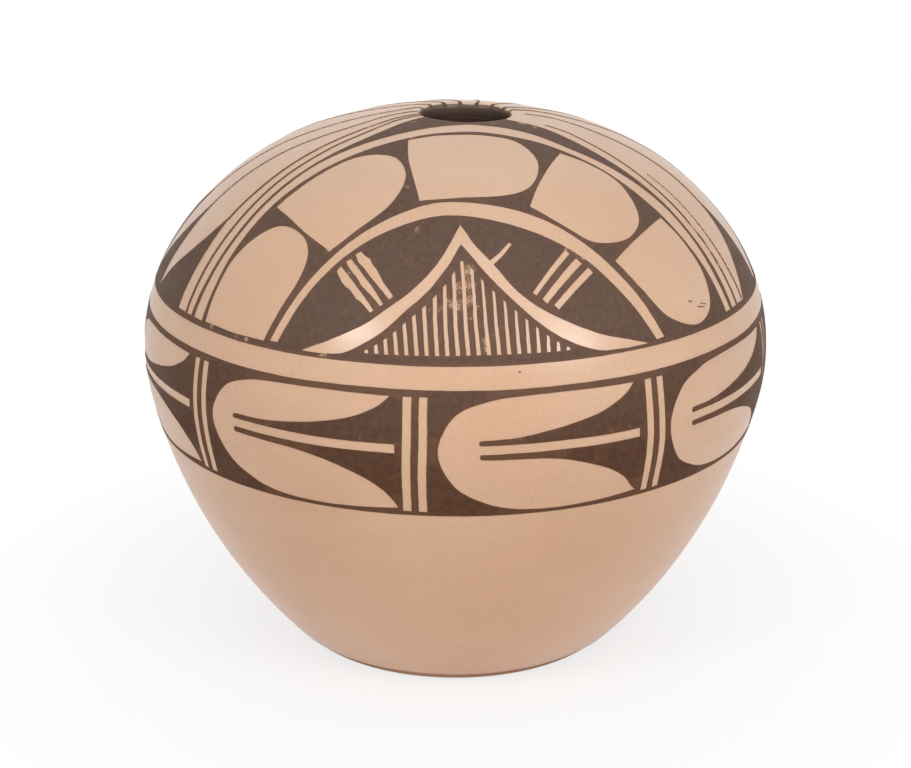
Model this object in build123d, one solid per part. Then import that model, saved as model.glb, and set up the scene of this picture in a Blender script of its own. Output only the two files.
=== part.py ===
"""A hand-coiled seed jar with a small round mouth, in the pieces that a potter lays up.

The foot is pressed in a shallow mould, rings of clay are lapped one inside the other up to
the mouth, and a thin coat of slip covers the outside and turns over the lip.
All the pieces are turned from one half-section, drawn with X as radius and Y as height.
The crown is part of a ball, and the mouth is cut square to it, a little off the jar's axis,
as on a jar that was closed by hand.
Sizes are in millimetres and degrees. The foot rests on Z = 0, and Z is the jar's axis.
"""
from build123d import *
import math
import os

# Outside of the finished jar
BELLY_DIAMETER = 178.0
BELLY_HEIGHT = 86.2
FOOT_DIAMETER = 94.8
CROWN_HEIGHT = 152.9
MOUTH_DIAMETER = 25.0
MOUTH_LEAN_ANGLE = 1.25

# Where one arc of the outline turns into the next, by the slope of the outline's normal
LOWER_WALL_ANGLE = -12.6
SHOULDER_ANGLE = 33.0
CROWN_ANGLE = 71.5
SHOULDER_TO_BELLY = 1.39

# Thicknesses and rounded edges
WALL = 5.6
FLOOR = 7.0
SLIP = 0.4
FOOT_ROUND = 2.5
FLOOR_ROUND = 24.0
LIP_ROUND = 1.4
INNER_LIP_ROUND = 1.0

# How the jar is laid up
BASE_PAT_HEIGHT = 34.0
COIL_COUNT = 12
LAP_ANGLE = 35.0
SLIP_START = 3.0

# Sizes that follow from those above
BELLY_RADIUS = BELLY_DIAMETER / 2
FOOT_RADIUS = FOOT_DIAMETER / 2
MOUTH_RADIUS = MOUTH_DIAMETER / 2
CLAY_MOUTH_RADIUS = MOUTH_RADIUS + SLIP
MIDDLE = (SLIP + WALL) / 2
REACH = 3 * WALL


def direction(angle):
    """The unit vector at an angle in the half-section."""
    return Vector(math.cos(math.radians(angle)), math.sin(math.radians(angle)))


def upper_radii():
    """The radii of the belly's, the shoulder's and the crown's arcs.

    They run tangent from the belly to the top of the crown, where the last one is centred on
    the axis. That gives one equation for the radius covered and one for the height.
    """
    belly, crown = direction(SHOULDER_ANGLE), direction(CROWN_ANGLE)
    across = 1 - belly.X + SHOULDER_TO_BELLY * (belly.X - crown.X)
    rise = belly.Y + SHOULDER_TO_BELLY * (crown.Y - belly.Y)
    height = CROWN_HEIGHT - BELLY_HEIGHT
    scale = rise * crown.X - across * (1 - crown.Y)
    belly_radius = (height * crown.X - BELLY_RADIUS * (1 - crown.Y)) / scale
    crown_radius = (BELLY_RADIUS * rise - height * across) / scale
    return belly_radius, belly_radius * SHOULDER_TO_BELLY, crown_radius


def lower_wall_arc():
    """The centre and radius of the arc that leaves the belly's and runs through the foot's edge."""
    inwards = -direction(LOWER_WALL_ANGLE)
    start = BELLY_CENTRE - inwards * BELLY_CURVE
    to_foot = Vector(FOOT_RADIUS, 0) - start
    radius = to_foot.length**2 / (2 * to_foot.dot(inwards))
    return start + inwards * radius, radius


# The outline's four arcs
BELLY_CURVE, SHOULDER_CURVE, CROWN_CURVE = upper_radii()
BELLY_CENTRE = Vector(BELLY_RADIUS - BELLY_CURVE, BELLY_HEIGHT)
LOWER_WALL_CENTRE, LOWER_WALL_CURVE = lower_wall_arc()
SHOULDER_CENTRE = BELLY_CENTRE + direction(SHOULDER_ANGLE) * (BELLY_CURVE - SHOULDER_CURVE)
CROWN_CENTRE = Vector(0, CROWN_HEIGHT - CROWN_CURVE)


def angle_at_height(height, depth):
    """The angle at which the lower wall, at some depth under the outside, passes a height."""
    return math.degrees(math.asin((height - LOWER_WALL_CENTRE.Y) / (LOWER_WALL_CURVE - depth)))


def angle_at_radius(radius, depth):
    """The angle at which the crown, at some depth under the outside, passes a radius."""
    return math.degrees(math.acos(radius / (CROWN_CURVE - depth)))


def outline(depth, low_height, end_radius):
    """The jar's outline at a depth under the outside, from a height up to a radius on the crown."""
    turns = [
        (LOWER_WALL_CENTRE, LOWER_WALL_CURVE, angle_at_height(low_height, depth)),
        (BELLY_CENTRE, BELLY_CURVE, LOWER_WALL_ANGLE),
        (SHOULDER_CENTRE, SHOULDER_CURVE, SHOULDER_ANGLE),
        (CROWN_CENTRE, CROWN_CURVE, CROWN_ANGLE),
    ]
    ends = [turn[2] for turn in turns[1:]] + [angle_at_radius(end_radius, depth)]
    return [
        CenterArc(centre, radius - depth, start, end - start)
        for (centre, radius, start), end in zip(turns, ends)
    ]


def filled(depth, low_height):
    """The half-section of everything inside the outline at a depth, down to a height."""
    arcs = outline(depth, low_height, 0)
    foot, top = arcs[0] @ 0, arcs[-1] @ 1
    axis_foot = Vector(0, foot.Y)
    return make_face(Curve() + arcs + [Line(top, axis_foot), Line(axis_foot, foot)])


def foot_corner(section):
    """The lowest corner of a half-section, furthest from the axis."""
    return section.vertices().group_by(Axis.Y)[0].sort_by(Axis.X)[-1]


def clay_section():
    """The half-section of the clay before the mouth is cut: floor, wall and closed crown."""
    cavity = filled(WALL, FLOOR)
    cavity = fillet(foot_corner(cavity), FLOOR_ROUND)
    section = filled(SLIP, 0) - cavity
    return fillet(foot_corner(section), FOOT_ROUND)


def lap_seams():
    """Both ends of each slanted seam between two coils, lower ones first.

    A new coil is pressed on inside the rim below, so each seam runs down towards the inside.
    """
    middle = Wire(outline(MIDDLE, BASE_PAT_HEIGHT, CLAY_MOUTH_RADIUS))
    slant = direction(LAP_ANGLE)
    seams = []
    for i in range(COIL_COUNT + 1):
        distance = middle.length * i / COIL_COUNT
        point = middle.position_at(distance, position_mode=PositionMode.LENGTH)
        along = middle.tangent_at(distance, position_mode=PositionMode.LENGTH)
        outwards = Vector(along.Y, -along.X)
        seam = (outwards * slant.X + along * slant.Y) * REACH
        if i == COIL_COUNT:
            point += along * (CLAY_MOUTH_RADIUS + REACH)
        seams.append((point + seam, point - seam))
    return seams


def coil_strips():
    """A four-sided strip of the half-section for each coil, from its lower to its upper seam."""
    seams = lap_seams()
    return [
        make_face(Polyline(low[0], high[0], high[1], low[1], close=True))
        for low, high in zip(seams, seams[1:])
    ]


def turned(section):
    """A half-section turned about the jar's axis."""
    return revolve(Plane.XZ * section, Axis.Z)


def crown_height(radius, depth):
    """The height of the crown, at some depth under the outside, at a radius."""
    return CROWN_CENTRE.Y + math.sqrt((CROWN_CURVE - depth) ** 2 - radius**2)


def crown_cap(depth):
    """The half-section of the top of the crown's ball, at a depth, wide enough for the lip."""
    ball = Pos(CROWN_CENTRE) * Circle(CROWN_CURVE - depth)
    width = MOUTH_RADIUS + REACH
    return ball & Pos(width / 2, CROWN_HEIGHT) * Rectangle(width, 2 * REACH)


def pierced_cap(depth, radius, bottom, lip_round):
    """The top of the crown's ball, at a depth, with the mouth's hole in it and a rounded lip."""
    height = CROWN_HEIGHT - bottom
    section = crown_cap(depth) - Pos(radius / 2, bottom + height / 2) * Rectangle(radius, height)
    return fillet(corner_at(section, radius, depth), lip_round)


def corner_at(section, radius, depth):
    """The corner of a half-section where the mouth's wall meets the crown at a depth."""
    return section.vertices().sort_by_distance(Vector(radius, crown_height(radius, depth)))[0]


def mouth_cone():
    """The half-section of a cone from the ball's centre: what lies in it leans with the mouth."""
    edge = CROWN_CENTRE + direction(angle_at_radius(MOUTH_RADIUS + WALL, 0)) * (CROWN_CURVE + WALL)
    return make_face(Polyline(CROWN_CENTRE, edge, (0, edge.Y), close=True))


def with_mouth(section, lip_section):
    """A piece turned about the jar's axis, and its lip turned about the mouth's own axis."""
    lip = Pos(0, 0, -CROWN_CENTRE.Y) * turned(lip_section)
    lip = Pos(0, 0, CROWN_CENTRE.Y) * Rot(0, MOUTH_LEAN_ANGLE, 0) * lip
    cone = mouth_cone()
    return turned(section - cone) + (lip & turned(cone))


def mouth_coil(section):
    """The last coil, with the mouth in it."""
    bottom = crown_height(CLAY_MOUTH_RADIUS, WALL) - WALL
    lip = pierced_cap(SLIP, CLAY_MOUTH_RADIUS, bottom, LIP_ROUND - SLIP) - crown_cap(WALL)
    lip = fillet(corner_at(lip, CLAY_MOUTH_RADIUS, WALL), INNER_LIP_ROUND)
    return with_mouth(section, lip)


def slip_coat():
    """The slip: the outside, the lip and the straight wall of the mouth."""
    lining_end = crown_height(CLAY_MOUTH_RADIUS, WALL) + INNER_LIP_ROUND
    lip = pierced_cap(0, MOUTH_RADIUS, lining_end, LIP_ROUND)
    lip -= pierced_cap(SLIP, CLAY_MOUTH_RADIUS, lining_end, LIP_ROUND - SLIP)
    return with_mouth(filled(0, SLIP_START) - filled(SLIP, 0), lip)


def pieces():
    """Every piece of the jar by name."""
    clay = clay_section()
    strips = coil_strips()
    names = [f"coil_{i:02d}" for i in range(1, COIL_COUNT)] + ["mouth_coil"]
    made = {"base_pat": turned(clay - strips)}
    for name, strip in zip(names, strips):
        made[name] = turned(clay & strip)
    made["mouth_coil"] = mouth_coil(clay & strips[-1])
    made["slip_coat"] = slip_coat()
    return made


os.makedirs("parts", exist_ok=True)
for name, piece in pieces().items():
    export_step(piece, f"parts/{name}.step")
    box = piece.bounding_box()
    print(f"{name}: {piece.volume:.0f} mm3, Z {box.min.Z:.2f} to {box.max.Z:.2f}, {box.size.X:.2f} across")
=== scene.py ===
# %% [markdown]
# # A painted seed jar
# The jar is one fired pot: rings of clay under a thin coat of slip, with a design in dark paint.
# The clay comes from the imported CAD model, which stays as it is. This lesson makes what the eye
# sees: the skin of slip, the film of paint on it, and the finishes. Sizes are in millimetres
# until a mesh is made, and metres from there.

# %% Load the clay
import math
from collections import Counter

import bpy
import numpy as np
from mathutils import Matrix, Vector
from mathutils.geometry import delaunay_2d_cdt
from mathutils.kdtree import KDTree


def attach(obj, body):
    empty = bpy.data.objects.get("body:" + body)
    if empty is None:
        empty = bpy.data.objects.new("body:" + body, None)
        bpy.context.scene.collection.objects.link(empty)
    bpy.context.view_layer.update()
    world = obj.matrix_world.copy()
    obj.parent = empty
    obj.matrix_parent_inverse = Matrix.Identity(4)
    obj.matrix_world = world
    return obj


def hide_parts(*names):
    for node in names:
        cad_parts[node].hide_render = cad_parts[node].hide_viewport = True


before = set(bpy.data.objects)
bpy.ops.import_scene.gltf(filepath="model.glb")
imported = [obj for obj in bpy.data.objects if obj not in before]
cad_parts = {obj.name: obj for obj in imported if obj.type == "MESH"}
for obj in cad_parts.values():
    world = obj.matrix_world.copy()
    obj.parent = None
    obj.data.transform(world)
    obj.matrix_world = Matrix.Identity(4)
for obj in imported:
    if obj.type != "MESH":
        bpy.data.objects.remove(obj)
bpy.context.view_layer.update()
MM = 0.001
print("clay and slip:", sorted(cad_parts))

# %% [markdown]
# ## The outline of the wall
# From the foot to the lip, the wall follows five arcs that run into each other without a corner.
# The outline could be read from the CAD mesh, but arcs stay smooth at any number of points, so
# they are worked out again from the jar's own sizes. All angles are the slope of the normal.

# %% Work out the arcs
BELLY_RADIUS, BELLY_HEIGHT, FOOT_RADIUS, CROWN_HEIGHT, MOUTH_RADIUS = 89.0, 86.2, 47.4, 152.9, 12.5
LOWER_WALL_ANGLE, SHOULDER_ANGLE, CROWN_ANGLE = np.radians([-12.6, 33.0, 71.5])
SHOULDER_TO_BELLY = 1.39
SLIP, SLIP_START, LIP_ROUND, LINING_END = 0.4, 3.0, 1.4, 147.6


def direction(angle):
    """The unit vector at an angle in the half-section."""
    return np.array([math.cos(angle), math.sin(angle)])


def upper_radii():
    """Radii of the belly's and the crown's arcs, so that the crown ends on the axis at its height."""
    belly, crown = direction(SHOULDER_ANGLE), direction(CROWN_ANGLE)
    step = SHOULDER_TO_BELLY * (crown - belly)
    rows = [[1 - belly[0] - step[0], crown[0]], [belly[1] + step[1], 1 - crown[1]]]
    return np.linalg.solve(rows, [BELLY_RADIUS, CROWN_HEIGHT - BELLY_HEIGHT])


BELLY_CURVE, CROWN_CURVE = upper_radii()
SHOULDER_CURVE = BELLY_CURVE * SHOULDER_TO_BELLY
BELLY_CENTRE = np.array([BELLY_RADIUS - BELLY_CURVE, BELLY_HEIGHT])
SHOULDER_CENTRE = BELLY_CENTRE + direction(SHOULDER_ANGLE) * (BELLY_CURVE - SHOULDER_CURVE)
CROWN_CENTRE = np.array([0, CROWN_HEIGHT - CROWN_CURVE])
to_foot = np.array([FOOT_RADIUS, 0]) - BELLY_CENTRE - direction(LOWER_WALL_ANGLE) * BELLY_CURVE
LOWER_CURVE = to_foot @ to_foot / (-2 * to_foot @ direction(LOWER_WALL_ANGLE))
LOWER_CENTRE = BELLY_CENTRE + direction(LOWER_WALL_ANGLE) * (BELLY_CURVE - LOWER_CURVE)
LIP_ANGLE = math.acos((MOUTH_RADIUS + LIP_ROUND) / (CROWN_CURVE - LIP_ROUND))
LIP_CENTRE = CROWN_CENTRE + direction(LIP_ANGLE) * (CROWN_CURVE - LIP_ROUND)
MOUTH_ANGLE = math.acos(MOUTH_RADIUS / CROWN_CURVE)


def wall_line(depth, spacing, lip_spacing):
    """Points of the wall at a depth under the outside, from the slip's lower end over the lip."""
    low = math.asin((SLIP_START - LOWER_CENTRE[1]) / (LOWER_CURVE - depth))
    arcs = [
        (LOWER_CENTRE, LOWER_CURVE, low, LOWER_WALL_ANGLE, spacing),
        (BELLY_CENTRE, BELLY_CURVE, LOWER_WALL_ANGLE, SHOULDER_ANGLE, spacing),
        (SHOULDER_CENTRE, SHOULDER_CURVE, SHOULDER_ANGLE, CROWN_ANGLE, spacing),
        (CROWN_CENTRE, CROWN_CURVE, CROWN_ANGLE, LIP_ANGLE, spacing),
        (LIP_CENTRE, LIP_ROUND, LIP_ANGLE, math.pi, lip_spacing),
    ]
    points = []
    for centre, radius, start, end, gap in arcs:
        count = math.ceil(radius * (end - start) / gap)
        angles = np.linspace(start, end, count, endpoint=centre is LIP_CENTRE)
        points += [centre + direction(angle) * (radius - depth) for angle in angles]
    return np.array(points)


print(f"arc radii: belly {BELLY_CURVE:.1f}, shoulder {SHOULDER_CURVE:.1f}, crown {CROWN_CURVE:.1f}")

# %% [markdown]
# ## Node trees from short calls
# A node tree is a list of nodes and the links between them. One helper adds a node, sets it and
# fills or links its inputs, so that a tree reads from top to bottom like a recipe. An output knows
# its own tree, so most helpers need only the outputs that they work on.

# %% Helpers for node trees


def fill(node, inputs):
    """Fills inputs of a node. Each takes a plain value, or an output of another node."""
    for key, value in inputs.items():
        if isinstance(value, bpy.types.NodeSocket):
            node.id_data.links.new(value, node.inputs[key])
        else:
            node.inputs[key].default_value = value


def add(tree, kind, inputs=None, **settings):
    """Adds a node to a tree, sets it and fills its inputs. The result is its outputs."""
    made = tree.nodes.new(kind)
    for name, value in settings.items():
        setattr(made, name, value)
    fill(made, inputs or {})
    return made.outputs


def maths(operation, *values, kind="ShaderNodeMath"):
    """The output of a Math node, in the tree that its inputs come from."""
    tree = next(value.id_data for value in values if isinstance(value, bpy.types.NodeSocket))
    return add(tree, kind, dict(enumerate(values)), operation=operation)[0]


def vector_maths(operation, *values):
    """The vector output of a Vector Math node."""
    return maths(operation, *values, kind="ShaderNodeVectorMath")


def scaled(vector, factor):
    """A vector times a factor."""
    return add(vector.id_data, "ShaderNodeVectorMath", {0: vector, "Scale": factor},
               operation="SCALE")[0]


def parts_of(vector):
    """The parts of a vector along X, Y and Z."""
    return add(vector.id_data, "ShaderNodeSeparateXYZ", {0: vector})


def spread(value, low, high, start=0.0, end=1.0):
    """A value stretched from one range to another, and held there."""
    return add(value.id_data, "ShaderNodeMapRange", {
        "Value": value, "From Min": low, "From Max": high, "To Min": start, "To Max": end})[0]


def noise(vector, size, detail=2.0, roughness=0.5):
    """Noise of a size in millimetres."""
    return add(vector.id_data, "ShaderNodeTexNoise", {
        "Vector": vector, "Scale": 1 / (size * MM), "Detail": detail, "Roughness": roughness})[0]


def new_tree(name, kind, inputs, outputs):
    """A node group with sockets listed by type: the group, what it is given, and its output node."""
    tree = bpy.data.node_groups.new(name, kind)
    for sockets, side in ((inputs, "INPUT"), (outputs, "OUTPUT")):
        for socket, labels in sockets.items():
            for label in labels:
                tree.interface.new_socket(label, in_out=side, socket_type="NodeSocket" + socket)
    return tree, tree.nodes.new("NodeGroupInput").outputs, tree.nodes.new("NodeGroupOutput")


def grown(host, tree, values):
    """A plain mesh from a Geometry Nodes tree on a host, with its inputs set by name."""
    modifier = host.modifiers.new(tree.name, "NODES")
    modifier.node_group = tree
    for item in tree.interface.items_tree:
        if item.in_out == "INPUT" and item.name in values:
            modifier[item.identifier] = values[item.name]
    evaluated = host.evaluated_get(bpy.context.evaluated_depsgraph_get())
    mesh = bpy.data.meshes.new_from_object(evaluated)
    bpy.data.objects.remove(host)
    return mesh


def placed(name, data):
    """A new object in the scene."""
    made = bpy.data.objects.new(name, data)
    bpy.context.scene.collection.objects.link(made)
    return made


def set_position(geometry, **places):
    """Geometry with its points moved."""
    return add(geometry.id_data, "GeometryNodeSetPosition", {"Geometry": geometry, **places})[0]


def merged(geometry, distance):
    """Geometry whose points are made one where they meet."""
    return add(geometry.id_data, "GeometryNodeMergeByDistance", {
        "Geometry": geometry, "Distance": distance})[0]


def with_map(geometry, place, **selection):
    """Geometry with a bake map."""
    return add(geometry.id_data, "GeometryNodeStoreNamedAttribute", {
        "Geometry": geometry, "Name": "OFBake", "Value": place, **selection},
        data_type="FLOAT2", domain="CORNER")[0]


def finished(geometry, material):
    """The end of a Geometry Nodes tree: real geometry, smooth shading and a material."""
    tree = geometry.id_data
    real = add(tree, "GeometryNodeRealizeInstances", {"Geometry": geometry})[0]
    smooth = add(tree, "GeometryNodeSetShadeSmooth", {0: real})[0]
    return add(tree, "GeometryNodeSetMaterial", {"Geometry": smooth, "Material": material})[0]


# %% [markdown]
# ## Shaped by hand
# A potter closes the crown by hand, so the mouth leans a little and the wall is never a perfect
# turned form. One small group bends any point of the jar in this way. The skin and the paint
# both use it, so they stay together. The lean turns points about the middle of the crown's ball,
# which keeps them on the ball, and fades out before the ball ends.

# %% A group that leans the mouth and makes the wall uneven
MOUTH_LEAN = math.radians(1.25)
RIGID_ANGLE = math.radians(8.1)
UNEVEN, UNEVEN_SIZE = 0.18, 45.0

hand_shape, given, result = new_tree(
    "Shaped by hand", "GeometryNodeTree", {"Vector": ["Place"]}, {"Vector": ["Place"]})
ball_middle = (0, 0, CROWN_CENTRE[1] * MM)
ball_parts = parts_of(vector_maths("SUBTRACT", given["Place"], ball_middle))
squares = [maths("MULTIPLY", ball_parts[side], ball_parts[side]) for side in "XY"]
polar_angle = maths("ARCTAN2", maths("SQRT", maths("ADD", *squares)), ball_parts["Z"])
lean = add(hand_shape, "ShaderNodeMapRange", {
    "Value": polar_angle, "From Min": math.pi / 2 - CROWN_ANGLE, "From Max": RIGID_ANGLE,
    "To Min": 0.0, "To Max": MOUTH_LEAN}, interpolation_type="SMOOTHSTEP")["Result"]
leaned = add(hand_shape, "ShaderNodeVectorRotate", {
    "Vector": given["Place"], "Center": ball_middle, "Angle": lean}, rotation_type="Y_AXIS")[0]
swell = maths("MULTIPLY", maths("SUBTRACT", noise(leaned, UNEVEN_SIZE, 1.0), 0.5), 2 * UNEVEN * MM)
outwards = vector_maths("NORMALIZE", vector_maths("SUBTRACT", leaned, (0, 0, BELLY_HEIGHT * MM)))
fill(result, {"Place": vector_maths("ADD", leaned, scaled(outwards, swell))})

# %% [markdown]
# ## The skin of slip
# Slip is fine liquid clay, wiped on in thin coats and rubbed with a stone until it has a soft
# gloss. On this jar it is a shell 0.4 mm thick that turns over the lip and lines the mouth.
# A Screw modifier could turn the section, but a grid of points in Geometry Nodes also gives a
# clean map of the surface: columns go round the jar, and rows go along the section.

# %% Turn the section
SKIN_COLUMNS, SKIN_MERGE = 288, 1e-6
OUTSIDE_SPACING, INSIDE_SPACING = (1.5, 0.2), (6.0, 0.3)
outside = wall_line(0, *OUTSIDE_SPACING)
lining = np.array([[MOUTH_RADIUS, LINING_END], [MOUTH_RADIUS + SLIP, LINING_END]])
section = np.vstack([outside, lining, wall_line(SLIP, *INSIDE_SPACING)[::-1], outside[:1]])

skin_tree, given, result = new_tree("Turned skin", "GeometryNodeTree", {
    "Geometry": ["Section"], "Int": ["Columns", "Rows"], "Material": ["Material"]}, {"Geometry": ["Skin"]})
grid = add(skin_tree, "GeometryNodeMeshGrid", {
    "Vertices X": maths("ADD", given["Columns"], 1), "Vertices Y": given["Rows"]})
number = add(skin_tree, "GeometryNodeInputIndex")[0]
row = maths("MODULO", number, given["Rows"])
column = maths("FLOOR", maths("DIVIDE", number, given["Rows"]))
azimuth = maths("MULTIPLY", maths("DIVIDE", column, given["Columns"]), math.tau)
in_section = add(skin_tree, "GeometryNodeSampleIndex", {
    "Geometry": given["Section"], "Index": row,
    "Value": add(skin_tree, "GeometryNodeInputPosition")[0]}, data_type="FLOAT_VECTOR")[0]
turned = add(skin_tree, "ShaderNodeVectorRotate", {
    "Vector": in_section, "Angle": azimuth}, rotation_type="Z_AXIS")[0]
by_hand = add(skin_tree, "GeometryNodeGroup", {"Place": turned}, node_tree=hand_shape)[0]
bent_grid = set_position(with_map(grid["Mesh"], grid["UV Map"]), Position=by_hand)
fill(result, {"Skin": finished(merged(bent_grid, SKIN_MERGE), given["Material"])})

# %% [markdown]
# ## Finishes
# Polished slip, dark paint and bare clay cover the jar. All of them show the same fire clouds and
# specks, and slip and paint share the marks of the polishing stone, so those two effects are
# shader groups that give plain values, and each material mixes its own colours with them.

# %% Shared effects


def srgb(red, green, blue):
    """A colour as a screen shows it, from 0 to 255, as the linear colour that shaders use."""
    shares = np.array([red, green, blue]) / 255
    return (*np.where(shares > 0.04045, ((shares + 0.055) / 1.055) ** 2.4, shares / 12.92), 1)


def mixed(share, first, second):
    """Two colours mixed by a share."""
    return add(share.id_data, "ShaderNodeMix", {0: share, 6: first, 7: second}, data_type="RGBA")[2]


def flattened(vector, times):
    """Coordinates that make noise this many times flatter."""
    return add(vector.id_data, "ShaderNodeMapping", {"Vector": vector, "Scale": (1.0, 1.0, times)})[0]


CLOUD_SIZE, SPECK_SIZE, GRAIN_SIZE, STREAK_SIZE, FACET_SIZE = 60, 1.3, 0.9, 28, 16
CLOUD_RANGE, SPECK_RANGE = (0.32, 0.68), (0.78, 0.84)
STREAK_FLATNESS, FACET_FLATNESS = 7.0, 2.2

fire_marks, given, result = new_tree(
    "Fire marks", "ShaderNodeTree", {"Vector": ["Place"]}, {"Float": ["Clouds", "Specks", "Grain"]})
fill(result, {
    "Clouds": spread(noise(given["Place"], CLOUD_SIZE, 4), *CLOUD_RANGE),
    "Specks": spread(noise(given["Place"], SPECK_SIZE, 1), *SPECK_RANGE),
    "Grain": noise(given["Place"], GRAIN_SIZE, 3, 0.6)})

stone_polish, given, result = new_tree(
    "Stone polish", "ShaderNodeTree", {"Vector": ["Place"]}, {"Float": ["Streaks", "Facets"]})
fill(result, {
    "Streaks": noise(flattened(given["Place"], STREAK_FLATNESS), STREAK_SIZE, 2),
    "Facets": noise(flattened(given["Place"], FACET_FLATNESS), FACET_SIZE, 1)})


def material(name):
    """A new material with a Principled shader: the material, the shader and the object's coordinates."""
    made = bpy.data.materials.new(name)
    made.use_nodes = True
    nodes = made.node_tree.nodes
    return made, nodes["Principled BSDF"], nodes.new("ShaderNodeTexCoord").outputs["Object"]


def use(group, place):
    """The named outputs of a shared effect in a material."""
    return add(place.id_data, "ShaderNodeGroup", {"Place": place}, node_tree=group)


def by_height(place, low, high, start, end):
    """A value that changes with the height on the jar, between two heights in millimetres."""
    return spread(parts_of(place)["Z"], low * MM, high * MM, start, end)


def bumped(height, depth):
    """The normal of a relief with a depth in millimetres."""
    return add(height.id_data, "ShaderNodeBump", {"Height": height, "Distance": depth * MM})[0]


# %% [markdown]
# ### Polished slip
# The slip is a warm pink buff, a little paler or redder where the fire touched it. The stone
# leaves low facets and streaks round the jar, and these break up the soft gloss.

# %% Slip
SLIP_PALE, SLIP_WARM, SPECK = srgb(226, 190, 161), srgb(216, 175, 143), srgb(150, 112, 88)
STREAK_WARMTH, GRAIN_DARKNESS, SPECK_SHARE = (0.3, 0.7, 0.0, 0.5), (0.45, 0.8, 0.0, 0.16), 0.5
SLIP_ROUGHNESS, SLIP_SPECULAR = (0.2, 0.8, 0.285, 0.33), 0.65
SLIP_GRAIN, POLISH_DEPTH = 0.06, 0.12


def polished(polish, marks, grain):
    """The normal of a polished surface: low facets, and a share of fine grain."""
    return bumped(maths("ADD", polish["Facets"], maths("MULTIPLY", marks["Grain"], grain)), POLISH_DEPTH)


slip_finish, shader, place = material("polished_slip")
marks, polish = use(fire_marks, place), use(stone_polish, place)
clouded = mixed(marks["Clouds"], SLIP_PALE, SLIP_WARM)
streaked = mixed(spread(polish["Streaks"], *STREAK_WARMTH), clouded, SLIP_WARM)
grained = mixed(spread(marks["Grain"], *GRAIN_DARKNESS), streaked, SPECK)
fill(shader, {
    "Base Color": mixed(maths("MULTIPLY", marks["Specks"], SPECK_SHARE), grained, SPECK),
    "Roughness": spread(polish["Streaks"], *SLIP_ROUGHNESS), "Specular IOR Level": SLIP_SPECULAR,
    "Normal": polished(polish, marks, SLIP_GRAIN)})

# %% [markdown]
# ### Dark paint
# The paint is boiled plant juice or iron earth, brushed on before the last polish. It is thin: it
# turns redder along its edges, and the slip shows through in a few pinholes, and in streaks where
# the brush ran dry or a hand rubbed the paint. The film carries each point's distance to the
# nearest edge, and how dry the brush was there. On the crown, a pale grey is mixed in as a
# painted sheen. In the mouth, the paint is darker as painted shade, and turns paler towards the
# lip as painted light on its rim, so one recipe makes two paints.

# %% Paint
# Colours of full, thin and weak paint, specular, roughness, share of painted sheen on the crown, share of
# painted light at the lip
PAINTS = {
    "dark_paint": ((85, 60, 46), (102, 74, 58), (132, 96, 75), 0.06, 0.55, 0.065, 0.0),
    # The mouth's paint is darker as painted shade, and its weak colour is also the painted light at the lip
    "smoked_paint": ((60, 46, 37), (72, 56, 46), (124, 103, 89), 0.35, 0.4, 0.0, 0.85)}
# A pale grey mixed into the paint towards the crown: a painted sheen
PAINTED_SHEEN, SHEEN_LOW, SHEEN_HIGH = srgb(190, 188, 184), 80, 112
# Between these heights the mouth's paint turns paler: painted light on the lip
LIP_LIGHT_LOW, LIP_TOP = 148.5, 152.3
BRUSH_SIZE, BRUSH_RANGE, PINHOLE_SIZE, PINHOLE_FLATNESS = 1.6, (0.35, 0.7), 0.45, 0.4
EDGE_WEAKNESS, DRY_WEAKNESS = (0.0, 0.4, 0.25, 0.0), (0.3, 0.9, 0.0, 0.7)
DRY_WEAR, BARE_RANGE = (0.3, 1.0, 0.0, 0.4), (0.68, 0.95, 0.0, 0.75)
GLOSS_RANGE, ROUGHNESS_REACH, PAINT_GRAIN = (0.3, 0.7), 0.07, 0.1
paint_finishes = {}
for name, (full, thin, weak_and_lit, specular, roughness, sheen_share, lip_light) in PAINTS.items():
    paint_finishes[name], shader, place = material(name)
    marks, polish = use(fire_marks, place), use(stone_polish, place)
    edge, dry = [add(place.id_data, "ShaderNodeAttribute", attribute_name=stored)["Fac"]
                 for stored in ("edge_distance", "dry")]
    brushed = mixed(spread(noise(place, BRUSH_SIZE, 4, 0.65), *BRUSH_RANGE), srgb(*full), srgb(*thin))
    # The paint on the crown turns paler and greyer: a painted sheen
    sheened = mixed(by_height(place, SHEEN_LOW, SHEEN_HIGH, 0.0, sheen_share), brushed, PAINTED_SHEEN)
    wear_and_lip_light = maths("MAXIMUM", spread(edge, *EDGE_WEAKNESS), spread(dry, *DRY_WEAKNESS))
    # Worn edges and dry brush, and in the mouth a paler rim as painted light on the lip
    wear_and_lip_light = maths("MAXIMUM", wear_and_lip_light, by_height(place, LIP_LIGHT_LOW, LIP_TOP, 0.0, lip_light))
    worn_and_lip_lit = mixed(wear_and_lip_light, sheened, srgb(*weak_and_lit))
    pinholes = noise(flattened(place, PINHOLE_FLATNESS), PINHOLE_SIZE, 3, 0.65)
    bare = spread(maths("ADD", pinholes, spread(dry, *DRY_WEAR)), *BARE_RANGE)
    fill(shader, {
        "Base Color": mixed(bare, worn_and_lip_lit, SLIP_PALE), "Specular IOR Level": specular,
        "Roughness": spread(polish["Streaks"], *GLOSS_RANGE, roughness - ROUGHNESS_REACH,
                            roughness + ROUGHNESS_REACH),
        "Normal": polished(polish, marks, PAINT_GRAIN)})

# %% [markdown]
# ### Bare clay
# Inside, the clay is bare, coarse and matt, and coloured darker than the pale foot. Both have
# the same grain, so one recipe makes them with two pairs of colours.

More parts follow.
